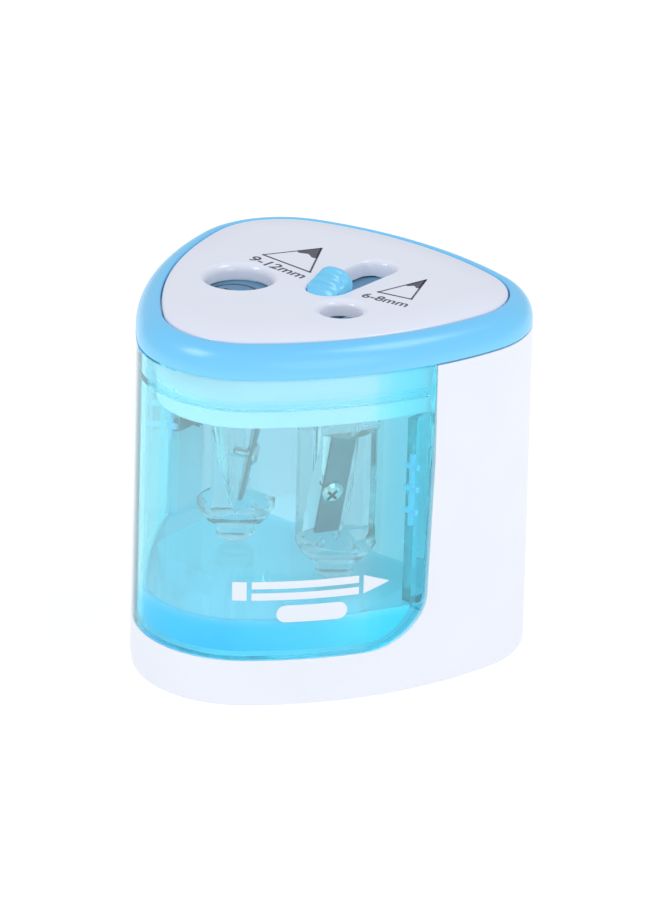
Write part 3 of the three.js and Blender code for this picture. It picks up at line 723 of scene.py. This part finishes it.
def finger_ladder(name, side):
    """Three rungs and a stile moulded on the front of the bin's side flange."""
    front, back = FLANGE_Y[0] - 1.0, FLANGE_Y[0] - 0.02
    rung, half = (BIN_SIDE[0] + 0.1, LADDER_END), LADDER_BAR / 2
    bars = [((rung[0], z - half), (rung[1], z + half)) for z in LADDER_Z]
    bars.append(((STILE_X[0], LADDER_Z[0] - 3.5), (STILE_X[1], LADDER_Z[2] + 3.0)))
    boxes = []
    for low, high in bars:
        left, right = sorted((side * low[0], side * high[0]))
        boxes.append(box_mesh((left, front, low[1]), (right, back, high[1])))
    piece = finished(name, combined(boxes[0], boxes[3:] + boxes[1:3]), RIB_BLUE, 30)
    return placed(piece, "bin", "bin_blue")


def lower_rim():
    """The bright band under the bin's floor, just behind its wall: an opaque band of painted light,
    standing for the light that gathers in the bin's lower rim.
    """
    rows = [BIN_SILL + 1.2 + (FLOOR_TOP - BIN_SILL - 1.2) * k / 8 for k in range(9)]
    outer, inner = [], []
    for z in rows:
        span = window_span(z, BIN_HALF, BIN_BACK_EDGE, BIN_SILL) - 1.6
        for k in range(111):
            s = -span + 2 * span * k / 110
            outer.append(wall_point(s, z, WALL + 0.12))
            inner.append(wall_point(s, z, WALL + RIM_DEPTH))
    vertices, faces = thickened(outer, inner, grid_faces(len(rows), 111))
    piece = new_piece("bin_lower_rim", vertices, faces, RIM_BLUE)
    return placed(piece, "bin", "bin_blue")


lower_rim()
finger_ladder("bin_ladder_right", 1)
finger_ladder("bin_ladder_left", -1)

# ---- Gear tray: the white skirt behind the bin's upper edge ----
TRAY_INSET = 4.6
TRAY_WALL = 1.6
TRAY_FLOOR = 1.6


def tray_hole(centre, radius, steps):
    """The cutter for one round hole through the tray's floor."""
    return lathe([(radius, 60), (radius, 72)], (centre.x, centre.y), steps)


def gear_tray():
    """The skirt and floor of the tray, with holes for the bearings, axle, shaft and screws."""
    outer, inner = TRAY_INSET, TRAY_INSET + TRAY_WALL
    profile = [(outer + 0.3, TRAY_LOW), (outer, TRAY_LOW + 0.3), (outer, TRAY_TOP - 0.3),
               (outer + 0.3, TRAY_TOP), (inner, TRAY_TOP), (inner, TRAY_LOW)]
    skirt = swept(profile, around(220))
    floor = extruded([tuple(plan_point(s, outer + 0.8)) for s in around(160)], TRAY_LOW + 0.001,
                     TRAY_LOW + TRAY_FLOOR)
    holes = []
    for place, neck in ((LARGE_PLACE, 8.0), (SMALL_PLACE, 6.3)):
        holes.append(tray_hole(place, neck + 1.7, 48))
    holes.append(tray_hole(node_centre("idler_axle"), 1.5, 24))
    holes.append(tray_hole(node_centre("motor_shaft"), 3.4, 32))
    for name in ("motor_screw_1", "motor_screw_2"):
        holes.append(tray_hole(node_centre(name), 1.3, 20))
    mesh = combined(skirt, [floor], holes)
    piece = finished("tray_skirt", mesh, SKIRT_WHITE, 30)
    return placed(piece, "sharpener", "white_plastic", "gear_tray")


gear_tray()

# ---- Blue ring ----


def top_ring():
    """The ring between the body and the plate: a quarter-round shoulder with a rounded lip."""
    shoulder = []
    steps = 14
    for k in range(steps + 1):
        angle = 0.46 * math.pi * k / steps
        shoulder.append((5.5 * (1 - math.cos(angle)), 81.2 + 6.2 * math.sin(angle)))
    profile = [(0.35, RING_LOW), (0.1, RING_LOW + 0.1), (0.0, RING_LOW + 0.35), *shoulder,
               (RING_INSET - 0.35, 87.3), (RING_INSET - 0.1, 87.15), (RING_INSET, 86.8), (RING_INSET, 84.8),
               (3.4, 84.8), (2.4, 83.6), (2.4, RING_LOW)]
    vertices, faces = swept(profile, around(280))
    piece = new_piece("blue_ring", vertices, faces, RING_BLUE, 50)
    return placed(piece, "sharpener", "ring_blue", "top_ring")


top_ring()

# ---- White top plate ----
PLATE_INSET = RING_INSET + 0.3
CROWN_WIDTH = 9.0
SLOT_X = 5.3
SLOT_HALF = 4.9
SLOT_Y = (-4.0, 23.5)


def plate_height(inset):
    """The plate rises from its rim in a soft shoulder and is flat inside it."""
    share = min(1.0, max(0.0, (inset - PLATE_INSET) / CROWN_WIDTH))
    return PLATE_TOP - 1.0 * (1 - share) ** 2.2


def plate_body():
    """The plate without its openings."""
    samples = around(240)
    rings = [[(*plan_point(s, PLATE_INSET, 1), PLATE_LOW) for s in samples]]
    rings.append([(*plan_point(s, PLATE_INSET, 1), plate_height(PLATE_INSET) - 0.5) for s in samples])
    for depth in (0.12, 0.35, 0.8, 1.6, 2.6, 4.0, 5.5, 7.2, CROWN_WIDTH):
        lift = 0.35 * max(0.0, 1 - depth / 0.8) ** 2
        rings.append([(*plan_point(s, PLATE_INSET + depth, 1), plate_height(PLATE_INSET + depth) - lift)
                      for s in samples])
    return lofted(rings)


def dish(place, hole, wide):
    """The cutter for a pencil hole: a straight hole that opens in a rounded dish."""
    lip = 86.2 if wide > 8 else 87.0
    profile = [(hole, 80), (hole, lip - 0.8), (hole + 0.12, lip)]
    steps = 8
    for k in range(1, steps + 1):
        share = k / steps
        profile.append((hole + 0.12 + (wide - hole) * (1 - math.cos(share * math.pi / 2)),
                        lip + (PLATE_TOP + 0.02 - lip) * math.sin(share * math.pi / 2)))
    profile.append((wide + 0.6, 90))
    return lathe(profile, (place.x, place.y), 96)


def slot_outline(grow, far):
    """The slot's round-ended outline, grown all round and further at its far end."""
    points = []
    steps = 16
    for k in range(steps + 1):
        angle = math.pi + math.pi * k / steps
        points.append((SLOT_X + (SLOT_HALF + grow) * math.cos(angle),
                       SLOT_Y[0] + SLOT_HALF + (SLOT_HALF + grow) * math.sin(angle)))
    for k in range(steps + 1):
        angle = math.pi * k / steps
        points.append((SLOT_X + (SLOT_HALF + grow) * math.cos(angle),
                       SLOT_Y[1] - SLOT_HALF + (SLOT_HALF + grow + far) * math.sin(angle)))
    return points


def slot_cutter():
    """The cutter for the selector's slot: straight sides that open in a rounded dish."""
    rings = []
    for grow, far, z in ((-0.15, -0.6, 80), (-0.15, -0.6, 84.9), (-0.1, -0.5, 85.6),
                         (0.0, -0.35, 86.5), (0.12, -0.2, 87.3), (0.3, 0.0, 87.9),
                         (0.6, 0.3, 88.25), (1.1, 0.6, PLATE_TOP + 0.02), (1.6, 0.8, 90)):
        rings.append([(x, y, z) for x, y in slot_outline(grow - 0.3, far)])
    return lofted(rings)


def top_plate():
    tools = [dish(LARGE_PLACE, 7.6, 9.6), dish(SMALL_PLACE, 4.6, 6.9), slot_cutter()]
    mesh = combined(plate_body(), (), tools)
    piece = finished("white_plate", mesh, PLATE_WHITE, 32)
    weighted(piece)
    return placed(piece, "sharpener", "plate_plastic", "top_plate")


top_plate()

# ---- Selector knob ----
KNOB_LOW, KNOB_HIGH = node_box("selector_knob")
NOSE_HEIGHT = 1.6
HEEL_RADIUS = 2.2
HEEL_START = 0.78
HEEL_DROP = 2.2
RIB_START, RIB_END = 0.2, 0.72
RIB_COUNT = 3
RIB_HEIGHT = 0.28


def knob():
    """A thumb wedge: a round-topped heel at the back, a ribbed face that slopes down to the front."""
    x0, x1 = KNOB_LOW.x, KNOB_HIGH.x
    y0, y1 = KNOB_LOW.y, KNOB_HIGH.y
    middle, half = (x0 + x1) / 2, (x1 - x0) / 2
    rise = KNOB_HIGH.z - KNOB_LOW.z - NOSE_HEIGHT
    columns, rows = 48, 44
    top = []
    for r in range(rows + 1):
        v = r / rows
        for c in range(columns + 1):
            u = -1 + 2 * c / columns
            # the plan is a round front end that runs into a slightly narrower, rounded heel
            y = y0 + (y1 - y0) * v
            front = math.sqrt(max(0.0, 1 - max(0.0, 1 - (y - y0) / half) ** 2))
            heel = math.sqrt(max(0.0, 1 - max(0.0, 1 - (y1 - y) / HEEL_RADIUS) ** 2 * 0.5))
            x = middle + u * half * min(front, heel)
            slope = KNOB_LOW.z + NOSE_HEIGHT + rise * min(1.0, v / RIB_END) ** 0.9
            fall = max(0.0, (v - HEEL_START) / (1 - HEEL_START))
            crown = 1 - abs(u) ** 3.2 * 0.30 * min(1.0, v * 1.6)
            z = KNOB_LOW.z + (slope - KNOB_LOW.z) * crown - HEEL_DROP * fall * fall
            if RIB_START < v < RIB_END:
                rib = math.sin((v - RIB_START) / (RIB_END - RIB_START) * RIB_COUNT * 2 * math.pi)
                z += RIB_HEIGHT * rib * (1 - abs(u) ** 4)
            top.append(Vector((x, y, z)))
    bottom = [Vector((p.x, p.y, KNOB_LOW.z)) for p in top]
    vertices, faces = thickened(top, bottom, grid_faces(rows + 1, columns + 1))
    piece = new_piece("thumb_knob", vertices, faces, KNOB_BLUE, 60)
    bevel(piece, 0.35, 3, 60)
    return placed(piece, "selector", "selector_blue", "selector_knob")


knob()

# ---- Printed marks ----
PRINT = 0.04
ICON_LINE = 0.45
ICON_BASE = 0.55


def prism_mesh(polygons, z0, z1):
    """Flat polygons in plan, each given a little thickness."""
    vertices, faces = [], []
    for polygon in polygons:
        start, count = len(vertices), len(polygon)
        vertices += [(x, y, z0) for x, y in polygon] + [(x, y, z1) for x, y in polygon]
        faces.append(tuple(start + k for k in reversed(range(count))))
        faces.append(tuple(start + count + k for k in range(count)))
        for k in range(count):
            following = (k + 1) % count
            faces.append((start + k, start + following, start + count + following, start + count + k))
    return vertices, faces


def mixed(a, b, share):
    return (a[0] + (b[0] - a[0]) * share, a[1] + (b[1] - a[1]) * share)


def band(a, b, width):
    """A straight stroke from a to b."""
    along = Vector((b[0] - a[0], b[1] - a[1])).normalized()
    side = Vector((-along.y, along.x)) * width / 2
    a, b = Vector(a) - along * width / 2, Vector(b) + along * width / 2
    return [tuple(a - side), tuple(b - side), tuple(b + side), tuple(a + side)]


def tip_icon(name, left, right, tip):
    """A sharpened pencil end: a cone in outline, with its lead filled down to a wavy edge."""
    polygons = [band(left, right, ICON_BASE), band(right, tip, ICON_LINE), band(tip, left, ICON_LINE)]
    waves = []
    for k in range(25):
        share = k / 24
        depth = 0.42 + 0.035 * math.sin(share * 3 * math.pi)
        edge_left, edge_right = mixed(tip, left, depth), mixed(tip, right, depth)
        waves.append(mixed(edge_left, edge_right, share))
    for a, b in zip(waves, waves[1:]):
        polygons.append([tip, a, b])
    vertices, faces = prism_mesh(polygons, PLATE_TOP, PLATE_TOP + PRINT)
    piece = new_piece(name, vertices, faces, INK)
    return placed(piece, "sharpener", "plate_plastic")


def size_label(name, words, start, end, height):
    """A pencil-width label along a line on the plate."""
    curve = bpy.data.curves.new(name, "FONT")
    curve.body = words
    curve.size = 1.0
    curve.extrude = 0.5
    curve.offset = 0.015
    made = bpy.data.objects.new(name, curve)
    bpy.context.scene.collection.objects.link(made)
    depsgraph = bpy.context.evaluated_depsgraph_get()
    mesh = bpy.data.meshes.new_from_object(made.evaluated_get(depsgraph))
    bpy.data.objects.remove(made)
    low = min(v.co.x for v in mesh.vertices)
    wide = max(v.co.x for v in mesh.vertices) - low
    along = Vector((end[0] - start[0], end[1] - start[1]))
    across = Vector((-along.y, along.x)).normalized() * height / 0.7
    for vertex in mesh.vertices:
        share, up = (vertex.co.x - low) / wide, vertex.co.y
        place = Vector(start) + along * share + across * up
        level = PLATE_TOP + (PRINT if vertex.co.z > 0 else 0.0)
        vertex.co = Vector((place.x, place.y, level)) * MM
    piece = finished(name, mesh, INK)
    return placed(piece, "sharpener", "plate_plastic")


tip_icon("large_size_icon", (-19.3, 7.2), (-3.9, 5.8), (-12.1, 20.0))
tip_icon("small_size_icon", (15.7, 6.6), (24.1, 8.2), (18.9, 20.3))
size_label("large_size_label", "9-12mm", (-20.2, 2.5), (-2.9, 1.2), 3.0)
size_label("small_size_label", "6-8mm", (14.5, 1.6), (26.1, 3.4), 2.8)


def ring_band(centre, radius, width):
    """A flat ring, as a row of four-cornered pieces."""
    polygons = []
    steps = 64
    for k in range(steps):
        corners = []
        for r, turn in ((radius, k), (radius, k + 1), (radius - width, k + 1), (radius - width, k)):
            angle = 2 * math.pi * turn / steps
            corners.append((centre[0] + r * math.cos(angle), centre[1] + r * math.sin(angle)))
        polygons.append(corners)
    return polygons


def closed_mark():
    """On the shutter: a ring round a plain pencil outline, crossed by one stroke."""
    x, y = LARGE_PLACE.x - 0.6, LARGE_PLACE.y - 1.2
    polygons = ring_band((x, y), 5.9, 0.6)
    outline = [(-3.2, -0.9), (1.4, -0.9), (3.4, 0.0), (1.4, 0.9), (-3.2, 0.9)]
    for a, b in zip(outline, outline[1:] + outline[:1]):
        polygons.append(band((x + a[0], y + a[1]), (x + b[0], y + b[1]), 0.35))
    polygons.append(band((x - 2.6, y - 3.4), (x + 2.6, y + 3.4), 0.5))
    vertices, faces = prism_mesh(polygons, SHUTTER_TOP, SHUTTER_TOP + PRINT)
    piece = new_piece("closed_mark", vertices, faces, INK)
    return placed(piece, "selector", "selector_blue")


closed_mark()


def wall_print(name, outlines):
    """White print on the bin's outside. Each outline is a row of [s, low z, high z] columns."""
    vertices, faces = [], []
    for columns in outlines:
        start = len(vertices)
        for s, low, high in columns:
            for z in (low, high):
                vertices.append(wall_point(s, z, -PRINT))
            for z in (low, high):
                vertices.append(wall_point(s, z, 0.01))
        count = len(columns)
        for k in range(count - 1):
            a, b = start + 4 * k, start + 4 * (k + 1)
            faces += [(a, b, b + 1, a + 1), (a + 2, a + 3, b + 3, b + 2),
                      (a, a + 2, b + 2, b), (a + 1, b + 1, b + 3, a + 3)]
        last = start + 4 * (count - 1)
        faces += [(start, start + 1, start + 3, start + 2), (last, last + 2, last + 3, last + 1)]
    piece = new_piece(name, vertices, faces, WHITE_INK, 60)
    return placed(piece, "bin", "bin_blue")


def bar(s0, s1, z0, z1):
    """The columns of a plain bar along the wall."""
    steps = 10
    return [(s0 + (s1 - s0) * k / steps, z0, z1) for k in range(steps + 1)]


def distance_at(x, z):
    """How far from the apex the wall reaches x."""
    return solve(lambda s: wall_point(s, z).x >= x, 0.0, 90.0)


def pencil_print():
    """A plain pencil lying along the bin, of a rubber, two bars and a point, over a blank pill."""
    left, right, middle = 14.6, 37.3, 29.5
    start, end = distance_at(left, middle), distance_at(right, middle)
    length = end - start
    half = 2.3
    rubber = bar(start, start + 0.09 * length, middle - half, middle + half)
    upper = bar(start + 0.12 * length, start + 0.80 * length, middle + 0.5, middle + half)
    lower = bar(start + 0.12 * length, start + 0.80 * length, middle - half, middle - 0.5)
    point = []
    for k in range(9):
        share = k / 8
        reach = half * (1 - 0.97 * share)
        point.append((start + (0.83 + 0.17 * share) * length, middle - reach, middle + reach))
    wall_print("bin_print_pencil", [rubber, upper, lower, point])
    left, right, centre = 22.1, 32.3, 23.7
    start, end = distance_at(left, centre), distance_at(right, centre)
    pill = []
    radius = 2.1
    for k in range(33):
        angle = math.pi * k / 32
        s = (start + end) / 2 - ((end - start) / 2) * math.cos(angle)
        close = max(0.0, min(1.0, (min(s - start, end - s) + 0.02) / radius))
        reach = radius * math.sqrt(max(0.02, 1 - (1 - close) ** 2))
        pill.append((s, centre - reach, centre + reach))
    wall_print("bin_print_pill", [pill])


pencil_print()

# ---- Screw recesses on the blades, as painted shade ----


def screw_recess(name, screw, body):
    """A black cross laid on the head of a blade's screw: painted shade standing for its crosshead recess.
    """
    mesh = frame["nodes"][screw].data
    place = frame["nodes"][screw].matrix_world
    # the flat ends are the direction in which most of the surface faces
    facing = {}
    for face in mesh.polygons:
        normal = (place.to_3x3() @ face.normal).normalized()
        key = tuple(round(value, 2) for value in normal)
        facing[key] = facing.get(key, 0.0) + face.area
    normal = Vector(max(facing, key=facing.get)).normalized()
    if normal.y > 0:
        normal = -normal
    centre = node_centre(screw)
    top = max((place @ v.co / MM - centre).dot(normal) for v in mesh.vertices)
    side = normal.cross(Vector((0, 0, 1))).normalized()
    up = side.cross(normal)
    vertices, faces = [], []
    for along, across in ((side + up, side - up), (side - up, side + up)):
        along, across = along.normalized() * 1.5, across.normalized() * 0.33
        start = len(vertices)
        for depth in (top - 0.02, top + 0.03):
            for a, b in ((-1, -1), (1, -1), (1, 1), (-1, 1)):
                vertices.append(centre + normal * depth + along * a + across * b)
        faces += [tuple(start + k for k in quad) for quad in
                  ((3, 2, 1, 0), (4, 5, 6, 7), (0, 1, 5, 4), (1, 2, 6, 5), (2, 3, 7, 6), (3, 0, 4, 7))]
    piece = new_piece(name, vertices, faces, BLACK)
    return placed(piece, body, "blade_steel")


screw_recess("large_screw_recess", "large_blade_screw", "large_cutter")
screw_recess("small_screw_recess", "small_blade_screw", "small_cutter")

# ---- Stage and lights ----


def floor():
    """A wide white floor that keeps its shadows faint."""
    size = 6.0
    mesh = bpy.data.meshes.new("floor")
    corners = [(-size, -size, 0), (size, -size, 0), (size, size, 0), (-size, size, 0)]
    mesh.from_pydata(corners, [], [(0, 1, 2, 3)])
    stage = bpy.data.objects.new("floor", mesh)
    bpy.context.scene.collection.objects.link(stage)
    material, _, shader = material_base("pale_floor")
    shader.inputs["Base Color"].default_value = (0.5, 0.5, 0.5, 1)
    shader.inputs["Roughness"].default_value = 0.9
    shader.inputs["Specular IOR Level"].default_value = 0.0
    shader.inputs["Emission Color"].default_value = (1, 1, 1, 1)
    shader.inputs["Emission Strength"].default_value = 0.62
    mesh.materials.append(material)


def area_light(name, place, target, size, power):
    data = bpy.data.lights.new(name, "AREA")
    data.shape = "RECTANGLE"
    data.size, data.size_y = size
    data.energy = power
    light = bpy.data.objects.new(name, data)
    bpy.context.scene.collection.objects.link(light)
    light.location = place
    light.rotation_mode = "QUATERNION"
    light.rotation_quaternion = (Vector(target) - Vector(place)).to_track_quat("-Z", "Y")
    return light


def studio():
    """A pale even surround, and three soft lamps: front left, right and above."""
    world = bpy.data.worlds.new("studio")
    bpy.context.scene.world = world
    world.use_nodes = True
    background = world.node_tree.nodes["Background"]
    background.inputs["Color"].default_value = (0.97, 0.985, 1.0, 1)
    background.inputs["Strength"].default_value = 0.64
    area_light("key", (-0.33, -0.60, 0.78), (0, 0, 0.05), (0.35, 0.35), 2.3)
    area_light("fill", (0.85, -0.35, 0.45), (0, 0, 0.05), (0.5, 0.5), 1.15)
    area_light("overhead", (0.46, 0.23, 0.95), (0, 0, 0.05), (0.4, 0.4), 2.2)
    scene = bpy.context.scene
    scene.view_settings.view_transform = "Standard"
    scene.view_settings.look = "None"


floor()
studio()
